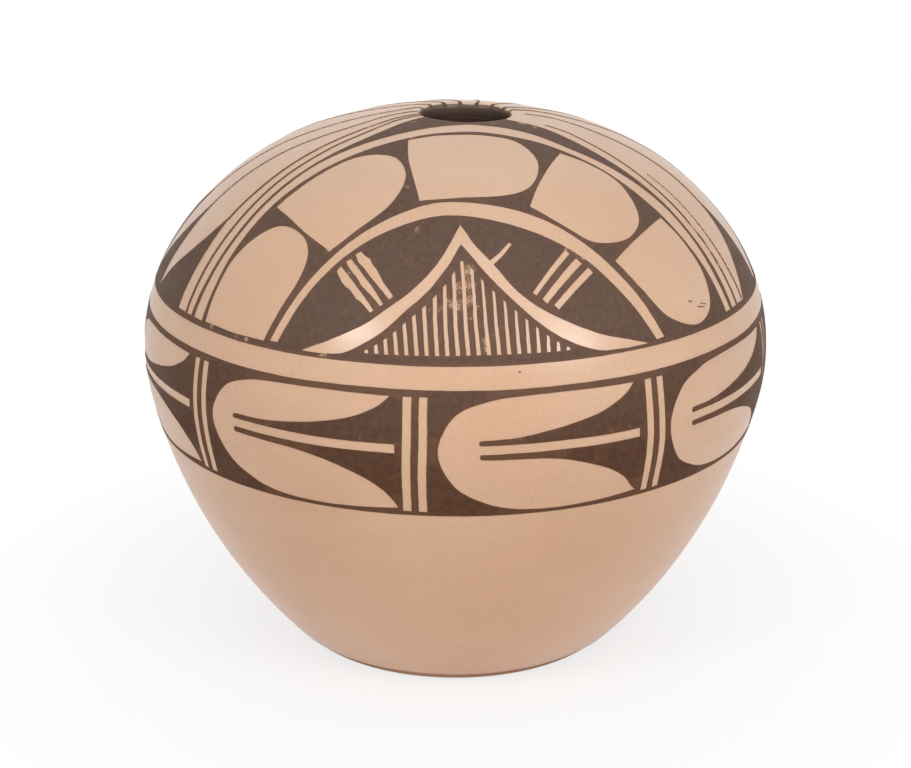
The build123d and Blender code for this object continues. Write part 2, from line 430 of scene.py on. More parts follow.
# %% Clay
CLAY_COLOURS = {
    "smoked_clay": (srgb(128, 99, 81), srgb(92, 71, 58)),
    "foot_clay": (srgb(206, 166, 138), srgb(178, 138, 111))}
CLAY_ROUGHNESS, CLAY_DEPTH = (0.3, 0.7, 0.75, 0.92), 0.25
clay_finishes = {}
for name, (light, dark) in CLAY_COLOURS.items():
    clay_finishes[name], shader, place = material(name)
    marks = use(fire_marks, place)
    fill(shader, {
        "Base Color": mixed(marks["Specks"], mixed(marks["Clouds"], light, dark), dark),
        "Roughness": spread(marks["Grain"], *CLAY_ROUGHNESS), "Normal": bumped(marks["Grain"], CLAY_DEPTH)})

for name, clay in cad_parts.items():
    if name != "slip_coat":
        clay.data.materials.clear()
        clay.data.materials.append(clay_finishes["foot_clay" if name == "base_pat" else "smoked_clay"])

# %% Make the skin
section_mesh = bpy.data.meshes.new("section")
section_mesh.from_pydata([(0, -r * MM, z * MM) for r, z in section], [], [])
skin = placed("slip_skin", grown(placed("section", section_mesh), skin_tree, {
    "Columns": SKIN_COLUMNS, "Rows": len(section), "Material": slip_finish}))
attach(skin, "root")
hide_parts("slip_coat")
print("slip_skin:", len(skin.data.polygons), "faces")

# %% [markdown]
# ## Drawing the design flat
# The design is dark paint with the pale figures left bare. To draw it, the upper half of the jar
# is flattened like a map of the pole: a point has its place to the right and to the front of the
# mouth's middle, and its distance from there is its way down the wall. A figure is a loop of
# runs. A run passes smoothly through a few knots, and two runs meet in a corner, so a feather
# needs a straight run and a curved one. Painting goes in layers, light over dark over light.

# %% Runs, loops and strokes
KNOT_SPACING, RUN_STEPS = 0.8, 24
RIM = MOUTH_RADIUS


def run(*knots):
    """Points along a smooth line through a few knots."""
    knots = np.array(knots, float)
    if len(knots) > 2:
        ends = np.vstack([2 * knots[0] - knots[1], knots, 2 * knots[-1] - knots[-2]])
        share = np.linspace(0, 1, RUN_STEPS, endpoint=False)[:, None]
        pieces = []
        for before, start, end, after in zip(ends, ends[1:], ends[2:], ends[3:]):
            bend = 2 * before - 5 * start + 4 * end - after
            twist = 3 * (start - end) + after - before
            pieces.append(start + share * ((end - before) + share * (bend + share * twist)) / 2)
        knots = np.vstack([*pieces, knots[-1:]])
    way = np.concatenate([[0], np.cumsum(np.hypot(*np.diff(knots, axis=0).T))])
    stops = np.linspace(0, way[-1], max(2, round(way[-1] / KNOT_SPACING) + 1))
    return np.stack([np.interp(stops, way, side) for side in knots.T], 1)


def loop(*runs):
    """A closed outline of runs, each from where the last one ended."""
    return np.vstack([points[:-1] for points in runs])


def straight(corners):
    """A closed outline with straight sides."""
    return loop(*[run(a, b) for a, b in zip(corners, [*corners[1:], corners[0]])])


def stroke(knots, *widths):
    """The outline of a brush stroke along a smooth line, with its width at even steps."""
    line = run(*knots)
    along = np.gradient(line, axis=0)
    side = np.stack([-along[:, 1], along[:, 0]], 1) / np.hypot(*along.T)[:, None]
    steps = np.linspace(0, len(widths) - 1, len(line))
    half = side * np.interp(steps, range(len(widths)), widths)[:, None] / 2
    return np.vstack([line + half, (line - half)[::-1]])


def at(degrees, way):
    """The flat place at an azimuth, from the front to the right, and a way down from the mouth."""
    angle = math.radians(degrees)
    return (way + RIM) * math.sin(angle), (way + RIM) * math.cos(angle)


def round_jar(start, end, way):
    """A run round the jar at one height, between two azimuths."""
    count = max(2, round(abs(math.radians(end - start)) * (way + RIM) / KNOT_SPACING))
    return np.array([at(degrees, way) for degrees in np.linspace(start, end, count)])


def azimuth_of(point):
    """The azimuth of a flat place."""
    return math.degrees(math.atan2(*point))


def round_between(start, end, way):
    """A run round the jar at one height, between the azimuths of two flat places."""
    return round_jar(azimuth_of(start), azimuth_of(end), way)


# %% [markdown]
# ## The arch of feathers
# On the front, a pale arch spans five feathers, and under them a second arch shelters a hill with
# fine hatching. Dark lines fan out from the mouth at both sides of the arch. No two of them are
# alike, so each has its own knots. All the knots were placed on the flattened view.

# %% Edges of the arch
BORDER_TOP, BORDER_MIDDLE, BORDER_LOW = 89.0, 89.7, 90.6
ARCH_START, ARCH_END = -61.0, 66.2
LAP, LIP_WAY = 0.4, -0.5
ARCH_FOOT = BORDER_TOP + LAP


def border(start, end):
    """The upper half of the dark border under the crown, between two azimuths."""
    top, low = BORDER_TOP, BORDER_MIDDLE + LAP
    return loop(round_jar(start, end, top), run(at(end, top), at(end, low)),
                round_jar(end, start, low), run(at(start, low), at(start, top)))


ARCH_OUTER = [(-82.6, 58.6), (-72, 51.3), (-60, 43.1), (-48, 35.5), (-37, 29), (-21, 21.8), (-5.2, 16.6),
              (4, 15.6), (18, 18.2), (34, 24.6), (61.4, 35), (81.4, 47), (88.4, 50.6)]
ARCH_INNER = [(-79.6, 62.5), (-60.2, 47), (-41, 35.8), (-14.6, 24.2), (1.2, 21.2), (12.4, 22.2),
              (28.8, 26), (51, 35.8), (71.8, 45.4), (86.3, 53.3)]
WEDGE_LEFT = [(-83.8, 57.2), (-72, 49.8), (-60, 41.7), (-48, 34.2), (-40, 29.5), (-29, 22.6), (-22.8, 17.5),
              (-17.2, 11.9), (-12.6, 8.7), (-9.7, 7.2)]
WEDGE_RIGHT = [(9.8, 7.8), (13, 9.4), (22, 11.8), (32.4, 17.4), (43.6, 24.6), (63, 34.6), (89, 49)]

arch_ground = loop(run(*ARCH_INNER), round_between(ARCH_INNER[-1], ARCH_INNER[0], ARCH_FOOT))
wedge = loop(
    run(*WEDGE_LEFT), round_between(WEDGE_LEFT[-1], WEDGE_RIGHT[0], LIP_WAY),
    run(*WEDGE_RIGHT), round_between(WEDGE_RIGHT[-1], ARCH_OUTER[-1], ARCH_FOOT),
    run(*ARCH_OUTER[::-1]), round_between(ARCH_OUTER[0], WEDGE_LEFT[0], ARCH_FOOT))
# Knots, the widths at both ends, and how dry the brush was
RAYS = [
    ([(-86, 54.3), (-72, 44.9), (-60, 37.3), (-48, 29.8), (-40, 25.1), (-32.7, 20.2), (-27, 16.2),
      (-22, 11.5), (-19, 8.6), (-15.2, 6.6), (-10.6, 5.4)], 1.1, 0.6, 0.6),
    ([(-66, 34.4), (-60, 31.4), (-52, 27.3), (-44, 22.8), (-36, 18), (-29.7, 13.8), (-24.1, 9.7),
      (-19.1, 6.1), (-15.3, 4.6), (-11.5, 3.2)], 1.0, 0.6, 0.7),
    ([(-73.4, 16.7), (-58, 13.2), (-46, 10.8), (-37.9, 9.4), (-31.4, 7.6), (-26.7, 5.3), (-23, 3),
      (-18, 1), (-11.9, 0.4)], 0.8, 0.5, 0.84),
    ([(-74.9, -0.6), (-58, 0), (-43.8, -0.4), (-34, -1.4), (-26.2, -2.6), (-21.9, -3.2), (-18, -4),
      (-15.2, -4.6), (-10.8, -4.9)], 0.7, 0.6, 0.93),
    ([(91, 45.4), (67, 32.6), (51, 24.2), (36.4, 15), (29.6, 10.7), (22.4, 8.4)], 1.0, 0.4, 0.65),
    ([(93, 40), (85, 36.3), (77.4, 32.7), (67, 27.1), (54, 21)], 0.9, 0.2, 0.92),
    ([(73.6, 14.3), (62, 8.8), (48.1, 4.8), (40.9, 2.3), (35, 0), (28.3, -1.6), (23.3, -2),
      (16.6, -0.6)], 0.9, 0.4, 0.78),
    ([(73.4, -14.6), (58, -12.6), (41.5, -10), (31.1, -9.4), (24, -8.8), (18.1, -7.2), (14.6, -5),
      (11.5, -3.3)], 0.6, 0.8, 0.88),
]
rays = [stroke(knots, start, end) for knots, start, end, _ in RAYS]
stray_marks = [
    stroke([(70.4, 63.3), (71.7, 62.4)], 0.35, 0.2), stroke([(74.2, 62.2), (77, 60.2)], 0.4, 0.2),
    stroke([(75, 60.4), (77.2, 58.9)], 0.3, 0.2), stroke([at(10.4, 92.3), at(10.8, 92.4)], 0.35, 0.25)]

# %% Feathers, from left to right: a square end, then the round one
FEATHERS = [
    ([at(-35.2, 88.8), at(-43, 89), at(-50.8, 88.9)],
     [(-71.4, 57.4), (-64.2, 52.2), (-56, 50), (-48.2, 51.4), (-42.4, 58), (-41.2, 65), (-44.6, 71.6),
      (-51, 77)]),
    ([(-34.8, 66.4), (-41.8, 57), (-49.8, 42.6)],
     [(-34.6, 34.2), (-25, 31.2), (-16.2, 35), (-13.2, 45), (-17.4, 55.4), (-28.2, 63)]),
    ([(-9.6, 55.6), (-11.6, 43), (-14.4, 25.2)],
     [(-6, 23.4), (7.6, 23.2), (16, 26.2), (22, 35), (20.4, 47), (13.2, 52.8), (0.4, 55)]),
    ([(19.8, 55.6), (22.6, 45), (28.4, 27.8)],
     [(37, 30.2), (46, 35.2), (51.2, 45.8), (48, 56), (38.8, 61.8), (30.2, 60.2)]),
    ([(44.9, 65.2), (50.2, 55.4), (58.2, 40.4)],
     [(66.4, 43.8), (75, 49.8), (79, 58.6), (75, 67.8), (64.4, 72.4), (54.2, 69.8)]),
]
feathers = [loop(run(*square), run(square[-1], *rounded, square[0])) for square, rounded in FEATHERS]

# %% [markdown]
# ### Hill and hatching
# The hill is a pale line, thin at its top and swelling into two sickle-shaped feet. The hatching
# under it is a row of pale slits left between dark lines. They start side by side on the border,
# lean over more and more to the right, and stop short of the hill's own line, so one rule places
# them all.

# %% Inner arch, hill, slits and bars
inner_arch = loop(
    run((-56.2, 83.8), (-41, 72.6), (-25, 63.4), (-9, 57.4), (3, 56.5), (19, 58.2), (35, 63.4),
        (51, 71), (64.2, 78.6)),
    run((64.2, 78.6), (61.8, 80.8)),
    run((61.8, 80.8), (49.4, 74.6), (35, 68.2), (19, 63.8), (3, 61.4), (-9, 62), (-25, 67),
        (-39.4, 74.6), (-53.8, 85.4)),
    run((-53.8, 85.4), (-56.2, 83.8)))
HILL_TIPS, HILL_TOP, HILL_INNER_TOP = ((-46.6, 90.5), (59.2, 83.1)), (1.3, 64.2), (1.4, 70.4)
hill_under = [
    run(HILL_TIPS[1], (55.2, 86.1), (51, 88.3), (43.5, 91.6), (35, 92.3), (27, 90.7), (18, 86),
        (9, 78.9), HILL_INNER_TOP),
    run(HILL_INNER_TOP, (-1.4, 75.6), (-4.6, 79.9), (-8.4, 84.1), (-13.7, 87.9), (-20, 91.8), (-27, 94.3),
        (-34, 95.2), (-41, 93.2), HILL_TIPS[0])]
hill = loop(
    run(HILL_TIPS[0], (-37, 90.9), (-27, 89.7), (-20, 87), (-13, 83.4), (-6.7, 77.9),
        (-2.3, 71.6), HILL_TOP),
    run(HILL_TOP, (3.5, 68), (5.6, 71), (11, 76.3), (17, 82), (24, 85.5), (33.5, 87.5), (43.5, 87.3),
        (53.5, 84.9), HILL_TIPS[1]), *hill_under)
tick = stroke([(9.6, 75.6), (12.3, 72.6), (14.8, 69)], 1.5, 0.9)
SLIT_COUNT, FIRST_SLIT, SLIT_PITCH, SLIT_HALF_WIDTH, SLIT_FOOT = 21, -15.3, 1.745, 0.36, 87.9
# Values at places to the right of the middle
SLIT_LEAN = np.array([(-27, 0.02), (-5, 0.02), (10, 0.125), (25, 0.165)])
SLIT_TAPER = np.array([(-8, 0.9), (3, 0.85), (6, 0.6), (25, 0.65)])
UNDER_GAP = np.array([(-27, 1.8), (-20, 2.3), (-8, 3.2), (0, 4.6), (6, 3.0), (22, 1.6)])
SHORTEST_SLIT, UNDER_FROM, UNDER_TO, FIRST_GUESS, TRIES = 0.2, -30, 42, 10, 8
under_line = np.vstack(hill_under)[::-1]
under_line = under_line[(under_line[:, 0] > UNDER_FROM) & (under_line[:, 0] < UNDER_TO)]


def below_hill(foot):
    """The place where a slit's side, from its foot, comes just under the hill's line."""
    lean, front = np.interp(foot[0], *SLIT_LEAN.T), foot[1] - FIRST_GUESS
    for _ in range(TRIES):
        across = foot[0] - lean * (foot[1] - front)
        front = min(foot[1], np.interp(across, *under_line.T) + np.interp(across, *UNDER_GAP.T))
    return across, front


slits = []
for i in range(SLIT_COUNT):
    middle = FIRST_SLIT + i * SLIT_PITCH
    feet = [at(middle + side * SLIT_HALF_WIDTH, SLIT_FOOT) for side in (-1, 1)]
    tops = [below_hill(foot) for foot in feet]
    tops = [top for top, foot in zip(tops, feet) if foot[1] - top[1] > SHORTEST_SLIT]
    if tops:
        centre = np.mean(tops, axis=0)
        tops = [centre + (top - centre) * np.interp(centre[0], *SLIT_TAPER.T) for top in tops]
        slits.append(straight([*tops, *feet[::-1]]))

# The bars at the left are worn ragged, and those at the right are clean strokes
RAGGED_BARS = [
    [(-31.8, 71.9), (-23.4, 86.6), (-24.4, 86.9), (-27, 83.4), (-28.2, 82.4), (-29.7, 79.5),
     (-31, 78.1), (-31.8, 76.7), (-32.7, 74.3), (-33, 72.8)],
    [(-28.8, 70.6), (-20.5, 85.4), (-21.4, 85.8), (-24.9, 81.1), (-26.5, 78.9), (-27.5, 76.5),
     (-28.8, 74.4), (-29.8, 72.4), (-30.2, 71)],
    [(-25.9, 69.1), (-24.8, 70.7), (-23.3, 72.1), (-23, 73.4), (-21.7, 75.8), (-20.1, 79.7),
     (-17.5, 83.8), (-18.7, 84.5), (-22.2, 79.6), (-23.6, 77.4), (-25.2, 74.4), (-26.8, 72.2),
     (-27.1, 70.9), (-27.5, 69.7)]]
CLEAN_BARS = [(((30.6, 67.9), (22.4, 82.3)), 1.6, 1.2), (((34.1, 69.6), (25.5, 83.6)), 2.2, 1.7),
              (((37.8, 71.1), (29, 84.4)), 1.9, 1.7)]
bars = [straight(corners) for corners in RAGGED_BARS] + [stroke(*bar) for bar in CLEAN_BARS]

# Where the brush was dry or the paint is rubbed: right, front, reach, and how dry
DRY_SPOTS = [
    (3.4, 78, 3, 0.95), (3.5, 82, 3, 0.95), (3.8, 86, 2.6, 0.98), (1, 82.5, 2.6, 0.87),
    (0.5, 87.4, 2.4, 0.98), (-2, 86.5, 2.2, 0.86), (-4.2, 88.5, 2, 0.84), (-7.3, 88.4, 1.6, 0.8),
    (6.5, 87.6, 1.6, 0.8), (8.6, 96.6, 1.8, 0.95), (8.7, 98.6, 1.2, 1.1), (7, 92.3, 1.4, 0.78),
    (11, 94.6, 1.4, 0.8), (4.4, 90.5, 2, 0.78), (-29.4, 74.6, 1.1, 0.95), (-28, 77.2, 0.9, 0.85),
    (-26.6, 73.4, 1, 0.85), (-22.6, 73.2, 1, 0.9), (-32.2, 78, 1, 0.85), (-30, 80.8, 1, 0.8),
    (30, 67.1, 1, 0.95), (31.6, 67.7, 1, 0.8), (33.4, 68, 1, 1.0), (35, 68.5, 1.1, 1.05),
    (38.5, 70.1, 1, 0.95), (40.2, 70.8, 1, 0.9), (30.3, 72, 0.9, 0.85), (28.5, 75, 0.9, 0.8),
    (-10.2, 65.4, 1.8, 0.85), (-13, 73.5, 1.2, 0.9), (-45, 88, 1.5, 0.75), (-42, 83, 1.2, 0.75),
    (-40, 94.4, 2.4, 0.9), (-35.5, 66, 1.6, 0.85), (-13.2, 49.6, 1.3, 0.95), (-13.8, 24.2, 1.2, 0.9),
    (12.4, 22.4, 1, 0.8), (15, 23.2, 1, 0.8), (51.6, 46, 1.5, 0.75), (15.5, 10.8, 1.8, 1),
    (19.5, 12.2, 1.5, 0.95), (3, 13.2, 1.2, 0.85), (7.5, 13.4, 1, 0.85), (-14.5, 12.2, 1.5, 0.8),
    (70, 33.6, 3, 1), (76, 36.8, 3, 1), (81, 39.4, 2, 1), (69, 28.4, 6, 0.75), (-24, 11, 5, 0.85),
    (-36, 20, 3, 0.85), (-30, 3, 6, 0.85), (28, 0, 6, 0.85), (74.5, 61, 4, 0.75), (-76.5, 67.5, 1.3, 1),
    (-64.5, 79.3, 1.4, 0.95), (-68, 76.5, 1, 0.85)]
RAY_FADE, RAY_REACH = RIM + 5, 1.2
for knots, _, _, dry in RAYS:
    DRY_SPOTS += [(*point, RAY_REACH, dry) for point in run(*knots)[::2] if np.hypot(*point) > RAY_FADE]
print(len(feathers), "feathers,", len(slits), "slits and", len(bars), "bars in an arch")

# %% [markdown]
# ## Petals and leaves
# From one side of the arch round to the other, there is a row of petals: pale, with a dark curved
# corner and a dark line up to the mouth. Below the crown, a band of split leaves goes round the
# jar, and a pair of bars stands between two leaves. Each is drawn once. The band is so near a
# plain cylinder that its knots are in degrees round the jar and millimetres down the wall.

# %% One petal and one leaf
PETAL_LEFT, PETAL_WIDTH = -77.0, 16.0
PETAL_HEAD, PETAL_TIP, PETAL_TURN, PETAL_FOOT = (-98.3, 25.3), (-65.5, 33.7), (-65.2, 34.2), (-89.6, 49.4)
petal_corner = loop(
    run(PETAL_HEAD, (-89, 29), (-81, 32.3), (-73, 33.9), PETAL_TIP), run(PETAL_TIP, PETAL_TURN),
    run(PETAL_TURN, (-77.8, 42.1), PETAL_FOOT),
    round_between(PETAL_FOOT, PETAL_HEAD, ARCH_FOOT))
PETAL_APEX = (azimuth_of((-65.3, 34)) - PETAL_LEFT) / PETAL_WIDTH
petal_line = [
    stroke([at(0, 62.3), at(0, 30), at(0, LIP_WAY)], 1.3, 0.7),
    stroke([at(0, 2.4), at(0, LIP_WAY)], 0.6, 1.7)]
LINE_DRY_SPOTS = [(*at(0, way), 3.0, 0.84) for way in range(6, 60, 3)]
END_DEPTH = 0.45


def round_end(across, top, low):
    """The round left end of a dark line between two heights."""
    turn = np.linspace(0, math.pi, 7)
    return np.stack([across - END_DEPTH * np.sin(turn), (top + low - (low - top) * np.cos(turn)) / 2], 1)


LEAF_WIDTH, BAND_TOP, BAND_LOW = 41.55, 96.6, 131.2
leaf = loop(
    run((37.4, 98.4), (35.4, 101.2), (32, 103.9), (28.5, 105.6), (23.5, 107.3), (16.5, 109), (10.4, 109.4)),
    round_end(10.4, 109.4, 110.8), run((10.4, 110.8), (10.5, 113)), round_end(10.5, 113, 114.5),
    run((10.5, 114.5), (16.5, 114.7), (21.5, 115.1), (26.5, 116.6), (31.5, 119.4), (34.5, 122),
        (36.8, 125.1), (38.7, 129.2)),
    run((38.7, 129.2), (31.5, 129.9), (23.5, 130.2), (16.5, 129.5), (11.5, 127.3), (6.4, 122.2),
        (3.6, 112.3), (6.4, 103.2), (11.5, 99.6), (16.5, 98.5), (24, 98.2), (37.4, 98.4)))


def box(left, top, right, low):
    """A four-sided outline."""
    return straight([(left, top), (right, top), (right, low), (left, low)])


MIDRIB = 112.0
leaf_midrib = box(8.9, MIDRIB - 1.3, 38.3, MIDRIB + 1.1)
leaf_bars = [box(0.6, 98.4, 2.0, 130.1), box(LEAF_WIDTH - 2.0, 98.4, LEAF_WIDTH - 0.6, 130.1)]
LEAF_DRY_SPOTS = [(*at(16.5, 109.7), 1.5, 0.75), (*at(33, 109.5), 2, 0.65), (*at(36.5, 110), 1.6, 0.65)]

# %% [markdown]
# ## Cutting the stencils
# Each drawing becomes a flat stencil: a mesh that covers the dark places only. A constrained
# triangulation takes all the outlines of the layers at once, and tells for each triangle which
# outlines hold it, so the uppermost layer decides if it is dark. Points on a grid inside keep the
# triangles small, because the sheet has to bend round the jar. The sheet is unrolled first, with
# the azimuth along X and the way down the wall along Y.

# %% A stencil from layers
UNROLL = 60.0
GRID, LIP_GRID, GRID_CLEARANCE, CUT_TOLERANCE = 1.8, 0.3, 0.45, 1e-4
LIP_ROWS = np.arange(-0.9, 1.6, LIP_GRID)


def unrolled(points):
    """Flat places on the polar map, on the unrolled sheet."""
    return np.stack([np.arctan2(*points.T) * UNROLL, np.hypot(*points.T) - RIM], 1)


def from_petal(points):
    """Flat places on the unrolled sheet, counted from the left end of the drawn petal."""
    return unrolled(points) - [math.radians(PETAL_LEFT) * UNROLL, 0]


def from_degrees(points):
    """Places in degrees and millimetres, on the unrolled sheet."""
    return points * [math.radians(1) * UNROLL, 1]


def anticlockwise(outline):
    """An outline, turned round if it runs clockwise, because a face has to run the other way."""
    after = np.roll(outline, -1, axis=0)
    area = np.sum(outline[:, 0] * after[:, 1] - outline[:, 1] * after[:, 0])
    return outline if area > 0 else outline[::-1]


def nearest(points):
    """A tree that finds the nearest of some flat points."""
    tree = KDTree(len(points))
    for i, (x, y) in enumerate(points):
        tree.insert((x, y, 0), i)
    tree.balance()
    return tree


def store(mesh, name, values):
    """Stores a value for each point of a mesh."""
    mesh.attributes.new(name, "FLOAT", "POINT").data.foreach_set("value", values)


def stencil(name, unroll, layers, dry_spots=()):
    """A flat mesh of the dark places of layers of outlines, with the wear that each point gets."""
    outlines = [anticlockwise(unroll(outline)) for _, group in layers for outline in group]
    is_dark = [dark for dark, group in layers for _ in group]
    drawn = np.vstack(outlines)
    ends = np.cumsum([len(outline) for outline in outlines])
    figures = [list(range(end - len(outline), end)) for outline, end in zip(outlines, ends)]
    low, high = drawn.min(0), drawn.max(0)
    rows = [(y, LIP_GRID) for y in LIP_ROWS if low[1] < y < high[1]]
    rows += [(y, GRID) for y in np.arange(low[1], high[1], GRID) if not LIP_ROWS[0] < y < LIP_ROWS[-1]]
    near_lines = nearest(drawn)
    inside = [(x, y) for x in np.arange(low[0], high[0], GRID) for y, gap in rows
              if near_lines.find((x, y, 0))[2] > gap * GRID_CLEARANCE]
    points, _, triangles, _, _, holders = delaunay_2d_cdt(
        [Vector(point) for point in [*drawn, *inside]], [], figures, 0, CUT_TOLERANCE)
    dark = [tuple(face) for face, held in zip(triangles, holders) if held and is_dark[max(held)]]
    sides = Counter(frozenset(pair) for face in dark for pair in zip(face, face[1:] + face[:1]))
    edge = {i for pair, times in sides.items() if times == 1 for i in pair}
    near_edge = nearest([points[i] for i in edge])
    kept = sorted({i for face in dark for i in face})
    place = {i: n for n, i in enumerate(kept)}
    mesh = bpy.data.meshes.new(name)
    mesh.from_pydata([(*points[i] * MM, 0) for i in kept], [], [[place[i] for i in face] for face in dark])
    store(mesh, "edge_distance", [near_edge.find((*points[i], 0))[2] for i in kept])
    flat = np.array([at(math.degrees(points[i].x / UNROLL), points[i].y) for i in kept])
    dry = np.zeros(len(kept))
    for right, front, reach, amount in dry_spots:
        away = np.sum((flat - (right, front)) ** 2, 1) / reach ** 2
        dry = np.maximum(dry, amount * np.exp(-away))
    store(mesh, "dry", dry)
    print(f"{name}: {len(dark)} triangles")
    return placed(name, mesh)


LINING_WAY, LINING_LIP_WAY = -4.0, 0.3
arch_stencil = stencil("arch", unrolled, [
    (True, [arch_ground, border(ARCH_START, ARCH_END)]),
    (False, [*feathers, inner_arch, hill, tick, *slits, *bars]),
    (True, [wedge, *rays, *stray_marks])], DRY_SPOTS)
petal_foot = border(PETAL_LEFT, PETAL_LEFT + PETAL_WIDTH)
petal_stencil = stencil("petal", from_petal, [(True, [petal_corner, petal_foot])])
line_stencil = stencil("petal_line", unrolled, [(True, petal_line)], LINE_DRY_SPOTS)
mouth_stencil = stencil("mouth", from_degrees, [(True, [box(0, LINING_WAY, 360, LINING_LIP_WAY)])])
leaf_stencil = stencil("leaf", from_degrees, [
    (True, [box(0, BAND_TOP, LEAF_WIDTH, BAND_LOW), box(0, BORDER_MIDDLE, LEAF_WIDTH, BORDER_LOW)]),
    (False, [leaf, leaf_midrib, *leaf_bars])], LEAF_DRY_SPOTS)

# %% [markdown]
# ## Painting round the jar
# One Geometry Nodes tree lays a stencil round the jar. Its host is a row of points, one for each
# repeat, with how far the painter stretched that one, how far its bars lean and where its midrib
# starts. The tree puts the stencil on the points, moves these, lets the brush waver, thickens the
# sheet to a film, and bends it onto the wall: X turns about the axis, Y is looked up along the
# outline, and Z goes out along the wall's normal. The sheet closes behind the jar, and there the
# brush is held steady, so that its two ends meet. The bake map gives most of its height to the
# faces that are seen, and a narrow strip to the hidden ones.

# %% The painting tree
FILM_PROUD, FILM_SUNK, FILM_MERGE = 0.08, 0.12, 2e-6
WAVER, WAVER_SIZE, FINE_WAVER, FINE_WAVER_SIZE = 0.35, 22.0, 0.09, 2.2
GATHER_REACH, GATHER_MIDDLE = 10.0, math.radians(105)
SEAM_SHARE = 0.008
# Shares of a leaf's width, and what they turn into
FIRST_BAR, LAST_BAR = (0.05, 0.09, 1.0, 0.0), (0.91, 0.95)
RIB_RISE, RIB_FADE, RIB_REACH = (0.13, 0.235), (0.25, 0.7, 1.0, 0.0), (3.2 * MM, 6.5 * MM, 1.0, 0.0)
MAP_WIDTH, SHOWN_ROWS, HIDDEN_ROWS = (0.005, 0.995), (0.05, 0.995), (0.0, 0.04)

paint_tree, given, result = new_tree("Painted round the jar", "GeometryNodeTree", {
    "Geometry": ["Repeats"], "Object": ["Stencil", "Outline"],
    "Float": ["Outline start", "Seed", "First azimuth", "Top", "Reach", "Gather"],
    "Material": ["Material"]}, {"Geometry": ["Film"]})


def named(name):
    """A named attribute of the points."""
    return add(paint_tree, "GeometryNodeInputNamedAttribute", {"Name": name}, data_type="FLOAT")[0]


def position():
    """The place of each point."""
    return add(paint_tree, "GeometryNodeInputPosition")[0]


def combined(**parts):
    """A vector from its parts along X, Y and Z."""
    return add(paint_tree, "ShaderNodeCombineXYZ", parts)[0]


def brush_waver(amount, size):
    """A sideways waver of the brush, from noise over the unrolled sheet."""
    noisy = add(paint_tree, "ShaderNodeTexNoise", {
        "Vector": vector_maths("ADD", position(), combined(Z=given["Seed"])),
        "Scale": 1 / (size * MM), "Detail": 1.0})["Color"]
    centred = vector_maths("SUBTRACT", noisy, (0.5, 0.5, 0.5))
    return vector_maths("MULTIPLY", centred, (2 * amount * MM, 2 * amount * MM, 0))


sheet = add(paint_tree, "GeometryNodeObjectInfo", {"Object": given["Stencil"]})["Geometry"]
copies = add(paint_tree, "GeometryNodeInstanceOnPoints", {
    "Points": given["Repeats"], "Instance": sheet,
    "Scale": combined(X=named("stretch"), Y=1.0, Z=1.0)})[0]
flat = add(paint_tree, "GeometryNodeRealizeInstances", {"Geometry": copies})[0]
drawn = parts_of(position())
along = maths("DIVIDE", maths("SUBTRACT", drawn["X"], named("start")), named("width"))
first_bar = maths("MULTIPLY", named("lean"), spread(along, *FIRST_BAR))
last_bar = maths("MULTIPLY", named("next_lean"), spread(along, *LAST_BAR))
low_share = spread(drawn["Y"], BAND_TOP * MM, BAND_LOW * MM)
leaning = maths("MULTIPLY", maths("ADD", first_bar, last_bar), low_share)
from_rib = maths("ABSOLUTE", maths("SUBTRACT", drawn["Y"], MIDRIB * MM))
rib_start = maths("MULTIPLY", spread(along, *RIB_RISE), spread(along, *RIB_FADE))
rib_share = maths("MULTIPLY", rib_start, spread(from_rib, *RIB_REACH))
by_eye = maths("ADD", leaning, maths("MULTIPLY", named("rib"), rib_share))
flat = merged(set_position(flat, Offset=combined(X=by_eye, Z=-FILM_SUNK * MM)), FILM_MERGE)

place = parts_of(position())
straight_turn = maths("DIVIDE", place["X"], UNROLL * MM)
round_share = maths("DIVIDE", maths("SUBTRACT", straight_turn, given["First azimuth"]), math.tau)
from_seam = maths("MINIMUM", round_share, maths("SUBTRACT", 1.0, round_share))
waver = vector_maths("ADD", brush_waver(WAVER, WAVER_SIZE), brush_waver(FINE_WAVER, FINE_WAVER_SIZE))
flat = set_position(flat, Offset=scaled(waver, spread(from_seam, 0.0, SEAM_SHARE)))
thick = add(paint_tree, "GeometryNodeExtrudeMesh", {
    "Mesh": flat, "Offset": (0, 0, 1), "Offset Scale": (FILM_PROUD + FILM_SUNK) * MM,
    "Individual": False})
under = add(paint_tree, "GeometryNodeFlipFaces", {"Mesh": flat})[0]
way_down = maths("DIVIDE", place["Y"], GATHER_REACH * MM)
near_mouth = maths("ADD", maths("MULTIPLY", way_down, way_down), 1.0)
gathered = maths("MULTIPLY", maths("SUBTRACT", GATHER_MIDDLE, straight_turn),
                 maths("DIVIDE", given["Gather"], near_mouth))
turn = maths("ADD", straight_turn, gathered)
down_share = maths("DIVIDE", maths("SUBTRACT", place["Y"], given["Top"]), given["Reach"])


def film_map(geometry, rows, **selection):
    """Geometry with the film's bake map: X goes round the jar, and Y down it between two rows."""
    across = spread(round_share, 0, 1, *MAP_WIDTH)
    return with_map(geometry, combined(X=across, Y=spread(down_share, 0, 1, *rows)), **selection)


upper = film_map(film_map(thick["Mesh"], HIDDEN_ROWS), SHOWN_ROWS, Selection=thick["Top"])
under = film_map(under, HIDDEN_ROWS)
both = add(paint_tree, "GeometryNodeJoinGeometry")[0]
for half in (upper, under):
    paint_tree.links.new(half, both.node.inputs[0])

